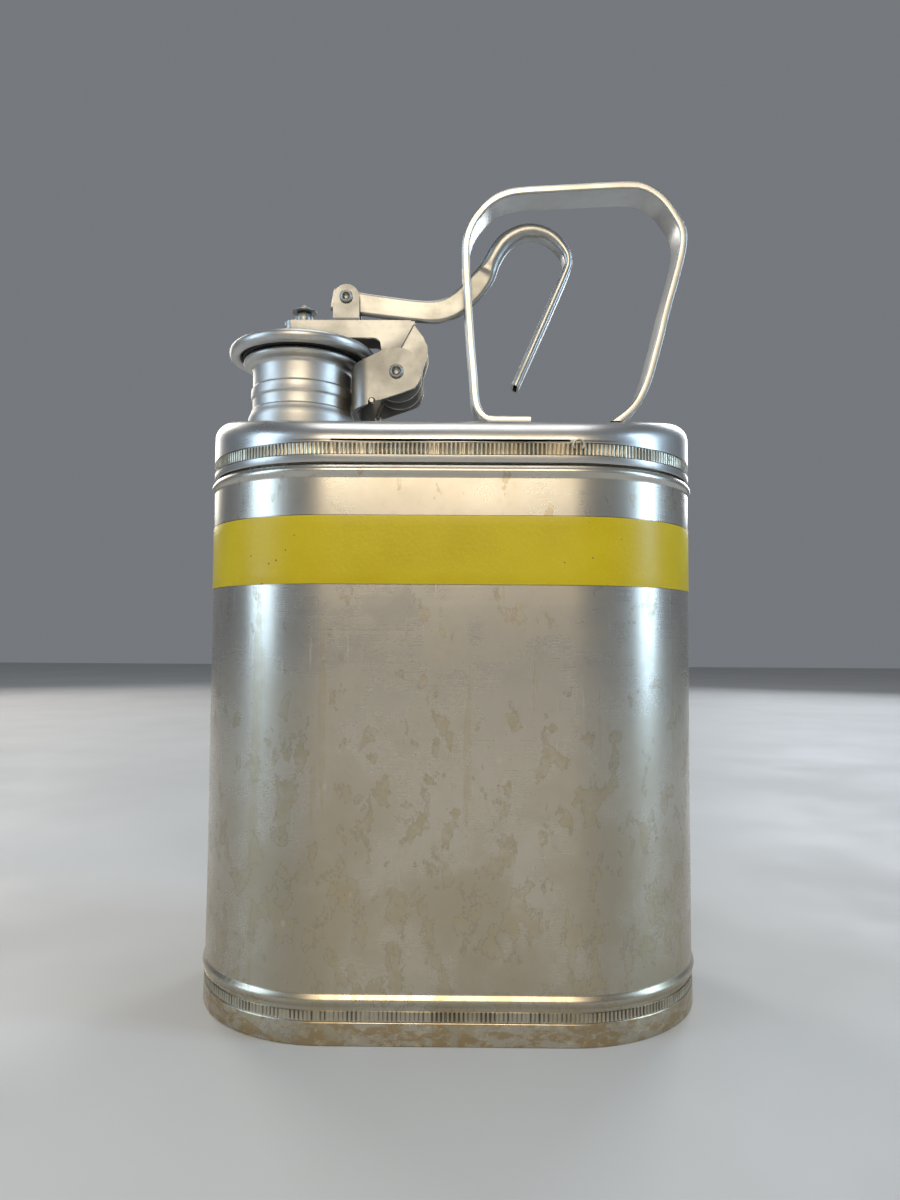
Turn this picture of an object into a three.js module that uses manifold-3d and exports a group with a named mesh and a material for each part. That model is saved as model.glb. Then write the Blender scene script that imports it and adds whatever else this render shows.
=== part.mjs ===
// Oval stainless gallon safety can with a sprung pouring cap, a thumb-and-finger
// trigger lever and a fixed strap handle.
// Millimetres, +Z up, front towards -Y. The origin is the middle of the footprint.
import * as THREE from 'three';
import { mergeVertices } from 'three/addons/utils/BufferGeometryUtils.js';
import Module from 'manifold-3d';

const wasm = await Module();
wasm.setup();

// ---------------------------------------------------------------- driving dimensions
const GAP = 0.3; // clearance between neighbouring pieces

const SPREAD = 44.45; // half distance between the centres of the body's two round ends
const R_SKIRT = 57.15; // 203.2 x 114.3 over the bottom skirt
const R_WALL = 56.75; // outside of the plain wall
const R_BEAD = 57.75; // crest of the two body beads
const T_WALL = 1.2;
const BODY_STEPS = 40;

const Z_BAND = [165.6, 191.0]; // painted marker band, 25.4 wide
const Z_BODY_BEAD = [205.6, 209.9];
const Z_BOTTOM_BEAD = [13.4, 18.1];
const Z_BOTTOM_WELD = [8.6, 12.1];
const Z_TOP_WELD = [213.8, 218.3];
const Z_LID = 210.9; // lower edge of the lid
const Z_RIDGE = 238.4; // height of the lid along its ridge
const LID_SLOPE = 0.27;
const LID_RIDGE_W = 13.0;
const LID_CORNER = 7.5;

const NECK_X = -65.8;
const R_NECK = 21.3;
const R_BORE = 20.2;
const R_LIP = 25.5;
const Z_LIP = 266.5;

const CAP_X = -65.5;
const R_CAP = 31.7;
const Z_CAP = [266.3, 271.7];

const PIN = { x: -23.3, z: 258.6, r: 2.2 }; // hinge pin of the cap arm
const EAR_Y = 15.5; // outside of the bracket's ears
const T_BRACKET = 1.5;
const ARM_Y = 7.6; // outside of the arm's flanges
const LOBE_Y = 6.4; // outside of the arm's hinge lobes
const T_ARM = 1.5;
const Z_ARM = 283.8; // top of the arm

const PIVOT = { x: -46.5, z: 295.6, r: 1.9 }; // rivet of the trigger lever
const CLEVIS_Y = 4.0;
const T_CLEVIS = 1.2;

const STRAP_W = 16.0;
const STRAP_T = 3.3;

const WIRE = 1.8; // closing spring

// ---------------------------------------------------------------- materials
const steel = (color, roughness) =>
  new THREE.MeshStandardMaterial({ color, roughness, metalness: 0.95 });
const satin = steel(0xb9b3a6, 0.34);
const satinLid = steel(0xb4b6b8, 0.36);
const warm = steel(0xb0a892, 0.5);
const strapSteel = steel(0xc4c2bb, 0.38);
const springSteel = steel(0x8d867a, 0.45);
const darkSteel = steel(0x77736b, 0.6);
const paint = new THREE.MeshStandardMaterial({ color: 0xcdb41e, roughness: 0.5, metalness: 0 });
const rubber = new THREE.MeshStandardMaterial({ color: 0x1a1a1a, roughness: 0.9, metalness: 0 });

// ---------------------------------------------------------------- solid modelling helpers
function solid(geometry) {
  const g = geometry.clone();
  g.deleteAttribute('normal');
  g.deleteAttribute('uv');
  const merged = mergeVertices(g, 1e-4);
  const p = merged.attributes.position.array;
  const source = merged.index.array;
  const tris = [];
  let volume = 0;
  for (let i = 0; i < source.length; i += 3) {
    const [a, b, c] = [source[i], source[i + 1], source[i + 2]];
    if (a === b || b === c || a === c) continue;
    tris.push(a, b, c);
    const A = new THREE.Vector3().fromArray(p, a * 3);
    const B = new THREE.Vector3().fromArray(p, b * 3);
    const C = new THREE.Vector3().fromArray(p, c * 3);
    volume += A.dot(B.cross(C));
  }
  if (volume < 0) {
    for (let i = 0; i < tris.length; i += 3) {
      [tris[i + 1], tris[i + 2]] = [tris[i + 2], tris[i + 1]];
    }
  }
  return new wasm.Manifold(new wasm.Mesh({
    numProp: 3,
    vertProperties: new Float32Array(p),
    triVerts: new Uint32Array(tris),
  }));
}

function geometryOf(manifold) {
  const mesh = manifold.getMesh();
  const g = new THREE.BufferGeometry();
  g.setAttribute('position', new THREE.BufferAttribute(mesh.vertProperties, 3));
  g.setIndex(new THREE.BufferAttribute(mesh.triVerts, 1));
  g.computeVertexNormals();
  return g;
}

const join = (...parts) => parts.reduce((all, one) => all.add(one));
const cut = (part, ...tools) => tools.reduce((rest, one) => rest.subtract(one), part);

// A turned body about +Z from [radius, height] pairs.
function turned(profile, x = 0, y = 0, steps = 40) {
  const g = new THREE.LatheGeometry(profile.map(([r, z]) => new THREE.Vector2(r, z)), steps);
  return solid(g.rotateX(Math.PI / 2).translate(x, y, 0));
}

// A turned body about +Y, seen from the front: pairs are [radius, y].
function turnedAcross(profile, x, z, steps = 24) {
  const g = new THREE.LatheGeometry(profile.map(([r, y]) => new THREE.Vector2(r, y)), steps);
  return solid(g.translate(x, 0, z));
}

// The same profile run around the oval plan: each half of the turned body is moved
// outwards by SPREAD, which stretches the two middle facets into the straight sides.
function oval(profile, closed = false, steps = BODY_STEPS) {
  const flat = Math.cos(Math.PI / steps);
  const points = profile.map(([r, z]) => new THREE.Vector2(r / flat, z));
  if (closed) points.push(points[0].clone());
  const g = new THREE.LatheGeometry(points, steps, Math.PI / steps);
  g.rotateX(Math.PI / 2);
  const position = g.attributes.position;
  for (let i = 0; i <= steps; i += 1) {
    const side = Math.sign(Math.sin(Math.PI / steps + (i * 2 * Math.PI) / steps));
    for (let j = 0; j < points.length; j += 1) {
      const k = i * points.length + j;
      position.setX(k, position.getX(k) + side * SPREAD);
    }
  }
  return g;
}

// A flat plate in the X-Z plane between two Y values.
function plate(outline, y0, y1, holes = []) {
  const points = outline.map(([x, z]) => new THREE.Vector2(x, z));
  if (THREE.ShapeUtils.isClockWise(points)) points.reverse();
  const shape = new THREE.Shape(points);
  for (const [x, z, r] of holes) {
    const hole = new THREE.Path();
    hole.absarc(x, z, r, 0, Math.PI * 2, true);
    shape.holes.push(hole);
  }
  const g = new THREE.ExtrudeGeometry(shape, {
    depth: y1 - y0, bevelEnabled: false, curveSegments: 12,
  });
  return solid(g.rotateX(Math.PI / 2).translate(0, y1, 0));
}

// A block given by its lowest and highest corners.
function block([x0, y0, z0], [x1, y1, z1]) {
  const g = new THREE.BoxGeometry(x1 - x0, y1 - y0, z1 - z0);
  return solid(g.translate((x0 + x1) / 2, (y0 + y1) / 2, (z0 + z1) / 2));
}

function rodY(x, z, r, y0, y1, steps = 24) {
  const g = new THREE.CylinderGeometry(r, r, y1 - y0, steps);
  return solid(g.translate(x, (y0 + y1) / 2, z));
}

function rodZ(x, y, r, z0, z1, steps = 32) {
  const g = new THREE.CylinderGeometry(r, r, z1 - z0, steps);
  return solid(g.rotateX(Math.PI / 2).translate(x, y, (z0 + z1) / 2));
}

// Points of an arc in the X-Z plane, from angle a to angle b in degrees.
function arc(x, z, r, a, b, steps) {
  return Array.from({ length: steps + 1 }, (_, i) => {
    const t = THREE.MathUtils.degToRad(a + ((b - a) * i) / steps);
    return [x + r * Math.cos(t), z + r * Math.sin(t)];
  });
}

// Evenly spaced points on a smooth curve through [x, z] pairs.
function smooth(points, count) {
  const curve = new THREE.CatmullRomCurve3(
    points.map(([x, z]) => new THREE.Vector3(x, 0, z)), false, 'centripetal');
  return curve.getSpacedPoints(count).map((p) => [p.x, p.z]);
}

// Outline of a strip of varying thickness along a centre line in the X-Z plane.
function strip(line, thickness) {
  const left = [];
  const right = [];
  line.forEach(([x, z], i) => {
    const [x0, z0] = line[Math.max(i - 1, 0)];
    const [x1, z1] = line[Math.min(i + 1, line.length - 1)];
    const length = Math.hypot(x1 - x0, z1 - z0);
    const half = thickness(i / (line.length - 1)) / 2;
    const nx = (-(z1 - z0) / length) * half;
    const nz = ((x1 - x0) / length) * half;
    left.push([x + nx, z + nz]);
    right.push([x - nx, z - nz]);
  });
  return [...left, ...right.reverse()];
}

const can = new THREE.Group();
can.name = 'gallon_safety_can';

function add(name, manifold, material) {
  const mesh = new THREE.Mesh(geometryOf(manifold), material);
  mesh.name = name;
  can.add(mesh);
  return mesh;
}

// ---------------------------------------------------------------- body
function bead([z0, z1], crest) {
  return [0, 0.2, 0.5, 0.8, 1].map((t) => [
    R_WALL + (crest - R_WALL) * Math.sin(Math.PI * t), z0 + (z1 - z0) * t]);
}
const R_IN = R_WALL - T_WALL;
const R_TUCK = 55.3; // the wall steps in under the lid

add('body_shell', solid(oval([
  [R_SKIRT, 0], [R_SKIRT, Z_BOTTOM_WELD[0] - 0.2], [R_SKIRT - 0.2, Z_BOTTOM_WELD[0]],
  [R_SKIRT - 0.2, Z_BOTTOM_WELD[1]], [R_WALL, Z_BOTTOM_WELD[1] + 0.3],
  ...bead(Z_BOTTOM_BEAD, R_BEAD),
  [R_WALL, Z_BAND[0] - 0.4], [R_WALL - 0.45, Z_BAND[0] - 0.3],
  [R_WALL - 0.45, Z_BAND[1] + 0.3], [R_WALL, Z_BAND[1] + 0.4],
  ...bead(Z_BODY_BEAD, R_BEAD + 0.05),
  [R_TUCK, Z_BODY_BEAD[1] + 0.7], [R_TUCK, 219.5], [R_TUCK - T_WALL, 219.5],
  [R_TUCK - T_WALL, 208.5], [R_IN, 206.5], [R_IN, 0],
], true)), satin);

add('marker_band', solid(oval([
  [R_WALL + 0.15, Z_BAND[0]], [R_WALL + 0.15, Z_BAND[1]],
  [R_WALL - 0.15, Z_BAND[1]], [R_WALL - 0.15, Z_BAND[0]],
], true)), paint);

const R_PAN = R_IN - GAP;
add('bottom_pan', solid(oval([
  [0, 15.2], [R_PAN - 7, 14.2], [R_PAN - 3, 13.4], [R_PAN - 1, 12.2], [R_PAN, 10.2],
  [R_PAN, 0.8], [R_PAN - T_WALL, 0.8], [R_PAN - T_WALL, 10.0], [R_PAN - 2, 11.4],
  [R_PAN - 3.6, 12.2], [R_PAN - 7.4, 13.0], [0, 14.0],
])), satin);

// ---------------------------------------------------------------- lid
// The lid is a drawn cup whose top rises to a soft ridge along X.
const roof = (y) => Z_RIDGE + LID_SLOPE * (LID_RIDGE_W - Math.hypot(y, LID_RIDGE_W));
const Z_FOLD = 221; // above this height the profile follows the roof

function lidSolid(outset, top) {
  const r = R_WALL + 0.2 + outset;
  const corner = LID_CORNER + Math.min(outset, 0);
  const rise = Z_RIDGE + top - Z_FOLD;
  const shoulder = [0, 0.2, 0.4, 0.6, 0.8, 1].map((t) => {
    const a = (t * Math.PI) / 2;
    return [r - corner + corner * Math.cos(a), rise - corner + corner * Math.sin(a)];
  });
  const inner = [0.82, 0.66, 0.5, 0.36, 0.22, 0.1, 0].map((t) => [(r - corner) * t, rise]);
  return { r, profile: [...shoulder, ...inner].map(([q, h]) => [q, Z_FOLD + h]) };
}

function roofed(geometry) {
  const position = geometry.attributes.position;
  for (let i = 0; i < position.count; i += 1) {
    const z = position.getZ(i);
    if (z < Z_FOLD) continue;
    position.setZ(i, z + roof(position.getY(i)) - Z_RIDGE);
  }
  return geometry;
}

const outer = lidSolid(0, 0);
const under = lidSolid(-1.2, -1.2);
const lidShell = solid(roofed(oval([
  ...under.profile.slice().reverse(),
  [under.r, 217.5], [under.r, Z_LID], [outer.r, Z_LID],
  [outer.r, Z_TOP_WELD[0]], [outer.r - 0.15, Z_TOP_WELD[0] + 0.2],
  [outer.r - 0.15, Z_TOP_WELD[1] - 0.2], [outer.r, Z_TOP_WELD[1]],
  ...outer.profile,
])));
add('top_lid', cut(lidShell, rodZ(NECK_X, 0, R_NECK + 0.5, 220, 250, 40)), satinLid);

// ---------------------------------------------------------------- neck
const neckTube = turned([
  [R_BORE, 225], [R_NECK, 225], [R_NECK, 248.4], [R_NECK + 0.5, 249.3], [R_NECK + 0.7, 251.2],
  [R_NECK + 0.5, 253.0], [R_NECK, 253.9], [R_NECK, 261.9], [R_NECK + 0.9, 262.9],
  [R_LIP - 0.8, 263.5], [R_LIP, 264.3], [R_LIP, 265.5], [R_LIP - 0.9, 266.4],
  [R_LIP - 2.0, Z_LIP], [R_BORE + 1.4, Z_LIP], [R_BORE, 265.2], [R_BORE, 225],
], NECK_X, 0, 36);
// The flared root stands on the lid, so its lower edge follows the roof.
function underRoof(clearance) {
  const shape = new THREE.Shape();
  shape.moveTo(-30, 200);
  for (let y = -30; y <= 30; y += 3) shape.lineTo(y, roof(y) + clearance);
  shape.lineTo(30, 200);
  const g = new THREE.ExtrudeGeometry(shape, { depth: 80, bevelEnabled: false });
  g.rotateX(Math.PI / 2).rotateZ(Math.PI / 2);
  return solid(g.translate(NECK_X - 40, 0, 0));
}
const neckRoot = cut(
  turned([
    [R_NECK - 0.4, 225], [R_NECK + 2.0, 225], [R_NECK + 2.0, 239.6], [R_NECK + 1.6, 240.9],
    [R_NECK + 0.9, 242.6], [R_NECK + 0.6, 243.8], [R_NECK - 0.4, 243.9], [R_NECK - 0.4, 225],
  ], NECK_X, 0, 36),
  underRoof(GAP),
);
add('neck', join(neckTube, neckRoot), satinLid);

// Flame arrester: a slotted basket hanging inside the neck.
const R_BASKET = 18.4;
let basket = turned([
  [0, 178], [R_BASKET, 178], [R_BASKET, 264.3], [R_BORE - 0.4, 264.3], [R_BORE - 0.4, 265.1],
  [R_BASKET - 0.9, 265.1], [R_BASKET - 0.9, 178.9], [0, 178.9],
], NECK_X, 0, 32);
for (let row = 0; row < 4; row += 1) {
  for (let k = 0; k < 3; k += 1) {
    const slot = new THREE.BoxGeometry(60, 9, 13);
    slot.rotateZ((k * Math.PI) / 3 + (row % 2) * (Math.PI / 6));
    basket = basket.subtract(solid(slot.translate(NECK_X, 0, 191 + row * 18)));
  }
}
add('flame_arrester', basket, darkSteel);

// ---------------------------------------------------------------- cap
const STUD_R = 2.9;
const capShell = turned([
  [STUD_R + GAP, 274.2], [STUD_R + GAP, 275.6], [6, 275.5], [9.5, 274.7], [14, 272.7],
  [19, 271.5], [25.6, 270.9], [27.2, 271.3], [28.6, 271.7], [30.3, 271.3], [31.4, 270.2],
  [R_CAP, 269.0], [31.4, 267.7], [30.3, 266.7], [28.9, Z_CAP[0]], [27.5, 266.8],
  [26.7, 267.8], [26.5, 269.4], [25.6, 269.7], [18.6, 270.3], [13.4, 271.4], [9.0, 273.4],
  [5.8, 274.2], [STUD_R + GAP, 274.2],
], CAP_X, 0, 40);
add('pouring_cap', capShell, satinLid);

add('cap_gasket', turned([
  [17.2, 266.9], [26.1, 266.9], [26.1, 269.3], [17.2, 269.9], [17.2, 266.9],
], CAP_X, 0, 32), rubber);

add('gasket_retainer', turned([
  [STUD_R + GAP, 264.9], [14.0, 264.9], [16.2, 266.2], [18.6, 266.2], [18.6, 266.6],
  [16.9, 266.6], [14.0, 266.2], [STUD_R + GAP, 266.2], [STUD_R + GAP, 264.9],
], CAP_X, 0, 24), darkSteel);

add('stud_spacer', turned([
  [STUD_R + GAP, 275.9], [5.4, 275.9], [5.4, 281.9], [STUD_R + GAP, 281.9],
  [STUD_R + GAP, 275.9],
], CAP_X, 0, 24), darkSteel);

add('cap_stud', turned([
  [0, 263.4], [5.4, 263.4], [5.4, 264.5], [STUD_R, 264.6], [STUD_R, 284.1], [3.9, 284.1],
  [3.9, 286.9], [3.3, 289.0], [1.9, 289.2], [1.9, 292.2], [1.5, 292.9], [0, 293.2],
], CAP_X, 0, 24), warm);

add('stud_washer', turned([
  [2.2, 289.5], [5.4, 289.5], [5.75, 289.9], [5.4, 290.4], [2.2, 290.4], [2.2, 289.5],
], CAP_X, 0, 24), warm);

add('stud_keeper', turned([
  [2.2, 290.7], [3.65, 290.7], [3.65, 291.4], [3.0, 291.9], [2.2, 291.9], [2.2, 290.7],
], CAP_X, 0, 20), warm);

// ---------------------------------------------------------------- cap arm
// A folded channel. Its flanges step inwards at the hinge end and end in two round lobes.
const ARM_X = [-73.2, -14.0];
const Z_FLANGE = 276.1;
const wideOutline = [
  [ARM_X[0], Z_FLANGE], [-34.0, Z_FLANGE], ...arc(-34.0, 272.9, 3.2, 90, 0, 4),
  [-30.6, 270.0], [-24.6, 270.0], [-23.5, 272.0], [-17.7, 283.2], [-17.7, Z_ARM],
  ...arc(ARM_X[0] + 3, Z_ARM - 3, 3, 90, 180, 4),
];
const lobeOutline = [
  [-31.2, 270.6], [-32.6, 264.0], ...arc(PIN.x, PIN.z, 10.4, 175, 360, 14),
  [-12.6, 262.5], [-10.4, 269.5], [-10.6, 272.7], [-12.4, 276.7], [-14.1, 278.9],
  [-16.4, 282.0], [-22.4, 282.9], [-28.0, 271.8],
];
const stepOutline = [
  [-30.6, 270.0], [-23.0, 270.0], [-22.0, 272.0], [-16.4, 282.6], [-17.8, 283.4],
  [-18.8, 283.0], [-25.4, 272.4], [-30.4, 272.2],
];
const webProfile = (half, x0, x1) => block([x0, -half, Z_ARM - T_ARM], [x1, half, Z_ARM]);
const pinHole = [[PIN.x, PIN.z, PIN.r + 0.25]];
const armSides = [-1, 1].flatMap((side) => {
  const span = (a, b) => [Math.min(side * a, side * b), Math.max(side * a, side * b)];
  return [
    plate(wideOutline, ...span(ARM_Y - T_ARM, ARM_Y)),
    plate(lobeOutline, ...span(LOBE_Y - T_ARM, LOBE_Y), pinHole),
    plate(stepOutline, ...span(LOBE_Y - T_ARM, ARM_Y)),
  ];
});
const noseRound = join(
  block([ARM_X[0] + 3, -ARM_Y, Z_ARM - 6], [ARM_X[1], ARM_Y, Z_ARM + 1]),
  rodZ(ARM_X[0] + 4, -ARM_Y + 4, 4, Z_ARM - 9, Z_ARM + 1, 24),
  rodZ(ARM_X[0] + 4, ARM_Y - 4, 4, Z_ARM - 9, Z_ARM + 1, 24),
  block([ARM_X[0], -ARM_Y + 4, Z_ARM - 9], [ARM_X[0] + 8, ARM_Y - 4, Z_ARM + 1]),
  block([ARM_X[0] + 4, -ARM_Y, 240], [0, ARM_Y, Z_ARM + 1]),
);
const SPRING_TANG = { x: PIN.x + 6.9, z: PIN.z + 4.2 };
const armBody = join(
  webProfile(ARM_Y, ARM_X[0], -17.7),
  webProfile(LOBE_Y, -19, -16.2),
  ...armSides,
).intersect(noseRound);
add('cap_arm', cut(
  armBody,
  rodZ(CAP_X, 0, STUD_R + GAP, 280, 286, 24),
  rodZ(PIVOT.x, 0, 2.0 + GAP, 280, 286, 20),
  rodY(SPRING_TANG.x, SPRING_TANG.z, WIRE / 2 + 0.4, -10, 10, 14),
), warm);

// ---------------------------------------------------------------- hinge bracket
const BEND = 8.0;
const BACK_X = -43.2;
function bracketPlan(inset) {
  const y = EAR_Y - inset;
  const x = BACK_X + inset;
  const r = BEND - inset;
  const shape = new THREE.Shape();
  shape.moveTo(0, -y);
  shape.lineTo(0, y);
  shape.lineTo(x + r, y);
  shape.absarc(x + r, y - r, r, Math.PI / 2, Math.PI, false);
  shape.absarc(x + r, -y + r, r, Math.PI, Math.PI * 1.5, false);
  const g = new THREE.ExtrudeGeometry(shape, { depth: 40, bevelEnabled: false, curveSegments: 6 });
  return solid(g.translate(inset > 0 ? 1 : 0, 0, 236));
}
const earOutline = [
  [-43.7, 261.6], [-41.0, 262.6], [-35.7, 264.6], [-32.4, 266.3], [-29.1, 267.9],
  ...arc(PIN.x, PIN.z, 10.4, 104, -42, 12), [-20.5, 249.7], [-30.6, 246.3],
  ...arc(-33.6, 245.9, 1.6, 10, 170, 6), [-35.2, 244.7], [-42.5, 242.5], [-43.7, 242.5],
];
const earMask = plate(earOutline, -20, 20, [[PIN.x, PIN.z, PIN.r + 0.25]]);
add('hinge_bracket', bracketPlan(0).subtract(bracketPlan(T_BRACKET)).intersect(earMask), warm);

// ---------------------------------------------------------------- pin, sleeve, springs
add('hinge_pin', turnedAcross([
  [0, -15.2], [1.2, -15.4], [2.1, -16.9], [2.9, -16.7], [3.05, -16.2], [2.7, -15.8],
  [PIN.r, -15.8], [PIN.r, 15.8], [2.7, 15.8], [3.05, 16.2], [2.9, 16.7], [2.1, 16.9],
  [1.2, 15.4], [0, 15.2],
], PIN.x, PIN.z, 16), warm);

add('pin_sleeve', turnedAcross([
  [PIN.r + 0.3, -4.6], [3.7, -4.6], [3.7, 4.6], [PIN.r + 0.3, 4.6], [PIN.r + 0.3, -4.6],
], PIN.x, PIN.z, 20), darkSteel);

// Each coil runs between the arm's lobe and the bracket's ear. One end turns inwards through
// the arm, and the other runs down and turns outwards through the notch in the ear.
const COIL = { r: 6.9, turns: 2.42, bend: 1.5 };
const NOTCH = { x: -33.6, z: 245.9 };
function closingSpring(side) {
  const inside = LOBE_Y + GAP + WIRE / 2;
  const outside = EAR_Y - T_BRACKET - GAP - WIRE / 2;
  const reach = Math.hypot(SPRING_TANG.x - PIN.x, SPRING_TANG.z - PIN.z);
  const start = Math.atan2(SPRING_TANG.z - PIN.z, SPRING_TANG.x - PIN.x);
  const sweep = COIL.turns * Math.PI * 2;
  const place = (a, r, y) => [PIN.x + r * Math.cos(a), side * y, PIN.z + r * Math.sin(a)];
  const corner = [0, 0.25, 0.5, 0.75, 1].map((t) => [
    COIL.bend * Math.sin((t * Math.PI) / 2), COIL.bend * (1 - Math.cos((t * Math.PI) / 2))]);
  const points = [place(start, reach, inside - COIL.bend - 1.0)];
  for (const [along, aside] of corner) {
    points.push(place(start + aside / reach, reach, inside - COIL.bend + along));
  }
  for (let i = 2; i <= 40; i += 1) {
    const t = i / 40;
    const shrink = (reach - COIL.r) * Math.max(0, 1 - t * 6) ** 2;
    points.push(place(start + sweep * t, COIL.r + shrink, inside + (outside - inside) * t));
  }
  points.push([-31.3, side * outside, 253.2], [-32.9, side * outside, 250.0]);
  for (const [along, aside] of corner) {
    points.push([NOTCH.x, side * (outside + aside), NOTCH.z + COIL.bend - along]);
  }
  points.push([NOTCH.x, side * 17.0, NOTCH.z]);
  const path = new THREE.CatmullRomCurve3(points.map((p) => new THREE.Vector3(...p)));
  const ring = new THREE.Shape();
  ring.absarc(0, 0, WIRE / 2, 0, Math.PI * 2, false);
  const g = new THREE.ExtrudeGeometry(ring, {
    steps: 84, extrudePath: path, curveSegments: 4, bevelEnabled: false,
  });
  return solid(g);
}
add('spring_front', closingSpring(-1), springSteel);
add('spring_rear', closingSpring(1), springSteel);

// ---------------------------------------------------------------- clevis and its rivets
const CLEVIS_W = 11.6;
const Z_CLEVIS = Z_ARM + GAP;
const clevisSide = [
  [PIVOT.x - CLEVIS_W / 2, Z_CLEVIS + 1.6], [PIVOT.x + CLEVIS_W / 2, Z_CLEVIS + 1.6],
  ...arc(PIVOT.x, PIVOT.z, CLEVIS_W / 2, 0, 180, 12),
];
function clevisPlan(inset) {
  const y = CLEVIS_Y - inset;
  const z = Z_CLEVIS + inset;
  const r = 2.4 - inset;
  const shape = new THREE.Shape();
  shape.moveTo(-y, 310);
  shape.lineTo(-y, z + r);
  shape.absarc(-y + r, z + r, r, Math.PI, Math.PI * 1.5, false);
  shape.absarc(y - r, z + r, r, Math.PI * 1.5, Math.PI * 2, false);
  shape.lineTo(y, 310);
  const g = new THREE.ExtrudeGeometry(shape, {
    depth: CLEVIS_W, bevelEnabled: false, curveSegments: 4 });
  g.rotateX(Math.PI / 2).rotateZ(Math.PI / 2);
  return solid(g.translate(PIVOT.x - CLEVIS_W / 2, 0, 0));
}
const clevisMask = join(
  plate(clevisSide, -10, 10, [[PIVOT.x, PIVOT.z, PIVOT.r + 0.25]]),
  block([PIVOT.x - CLEVIS_W / 2, -10, Z_CLEVIS - 1], [PIVOT.x + CLEVIS_W / 2, 10, Z_CLEVIS + 2]),
);
add('trigger_clevis', cut(
  clevisPlan(0).subtract(clevisPlan(T_CLEVIS)).intersect(clevisMask),
  rodZ(PIVOT.x, 0, 2.0 + GAP, 282, 287, 20),
), warm);

add('clevis_rivet', turned([
  [0, 280.9], [3.0, 281.1], [3.4, 282.0], [2.0, 282.0], [2.0, 285.6], [2.5, 285.6],
  [2.3, 286.4], [0, 286.9],
], PIVOT.x, 0, 20), warm);

add('trigger_rivet', turnedAcross([
  [0, -4.9], [1.1, -5.1], [1.8, -5.9], [2.6, -5.6], [2.9, -4.8], [2.5, -4.3],
  [PIVOT.r, -4.3], [PIVOT.r, 4.3], [2.5, 4.3], [2.9, 4.8], [2.6, 5.6], [1.8, 5.9],
  [1.1, 5.1], [0, 4.9],
], PIVOT.x, PIVOT.z, 16), warm);

// ---------------------------------------------------------------- trigger lever
// One bent tube: flattened upright at the pivot, round over the bend, flattened the other
// way down the finger grip. Each station is [x, z, height in the plane, width across].
const lever = [
  [-53.0, 295.9, 10.2, 3.2], [-46.5, 294.8, 10.4, 3.2], [-36.0, 293.2, 10.3, 3.2],
  [-27.0, 292.0, 10.2, 3.3], [-17.0, 290.8, 10.1, 3.4], [-8.8, 290.3, 10.4, 3.5],
  [-3.0, 291.3, 10.6, 3.6], [2.0, 293.8, 10.5, 3.8], [6.6, 297.6, 10.5, 4.0],
  [11.0, 302.5, 10.3, 4.4], [14.6, 307.3, 9.4, 5.6], [17.1, 312.4, 7.8, 7.6],
  [19.8, 317.4, 7.6, 8.0], [23.0, 321.7, 7.7, 8.0], [26.6, 324.4, 7.4, 8.2],
  [30.6, 326.1, 7.0, 8.6], [34.6, 326.6, 6.6, 9.0], [38.6, 326.0, 6.2, 9.2],
  [42.6, 324.3, 5.6, 9.6], [46.0, 321.6, 5.1, 9.8], [48.7, 318.2, 4.4, 10.0],
  [50.5, 314.8, 3.8, 10.2], [50.9, 311.0, 3.6, 10.2], [49.5, 306.6, 3.6, 10.2],
  [45.6, 297.4, 3.8, 10.2], [40.0, 284.3, 3.8, 10.2], [33.6, 269.5, 3.6, 10.3],
  [27.8, 256.2, 3.5, 10.4],
];
function leverTube(shrink, first, last) {
  const sides = 16;
  const stations = lever.slice(first, last);
  const positions = [];
  const index = [];
  stations.forEach(([x, z, h, w], i) => {
    const [x0, z0] = stations[Math.max(i - 1, 0)];
    const [x1, z1] = stations[Math.min(i + 1, stations.length - 1)];
    const length = Math.hypot(x1 - x0, z1 - z0);
    const n = [-(z1 - z0) / length, (x1 - x0) / length];
    const hh = h / 2 - shrink;
    const ww = w / 2 - shrink;
    const round = Math.min(hh, ww);
    for (let k = 0; k < sides; k += 1) {
      const a = ((k + 0.5) / sides) * Math.PI * 2;
      const u = round * Math.cos(a) + Math.sign(Math.cos(a)) * (ww - round);
      const v = round * Math.sin(a) + Math.sign(Math.sin(a)) * (hh - round);
      positions.push(x + n[0] * v, u, z + n[1] * v);
    }
    if (i > 0) {
      for (let k = 0; k < sides; k += 1) {
        const a = (i - 1) * sides + k;
        const b = (i - 1) * sides + ((k + 1) % sides);
        index.push(a, b, a + sides, b, b + sides, a + sides);
      }
    }
  });
  const end = (stations.length - 1) * sides;
  for (let k = 1; k < sides - 1; k += 1) {
    index.push(0, k + 1, k, end, end + k, end + k + 1);
  }
  const g = new THREE.BufferGeometry();
  g.setAttribute('position', new THREE.Float32BufferAttribute(positions, 3));
  g.setAttribute('normal', new THREE.Float32BufferAttribute(positions, 3));
  g.setAttribute('uv', new THREE.Float32BufferAttribute(new Array(stations.length * sides * 2), 2));
  g.setIndex(index);
  return solid(g);
}
function tipBore() {
  const [[x0, z0, h, w], [x1, z1]] = [lever[lever.length - 1], lever[lever.length - 2]];
  const g = new THREE.BoxGeometry(1, 1, 1);
  g.scale(h - 1.8, w - 2.2, 26);
  g.rotateY(Math.atan2(x1 - x0, z1 - z0));
  return solid(g.translate(x0, 0, z0));
}
add('trigger_lever', cut(
  leverTube(0, 0, lever.length),
  rodY(PIVOT.x, PIVOT.z, PIVOT.r + 0.25, -8, 8, 20),
  tipBore(),
), warm);

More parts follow.
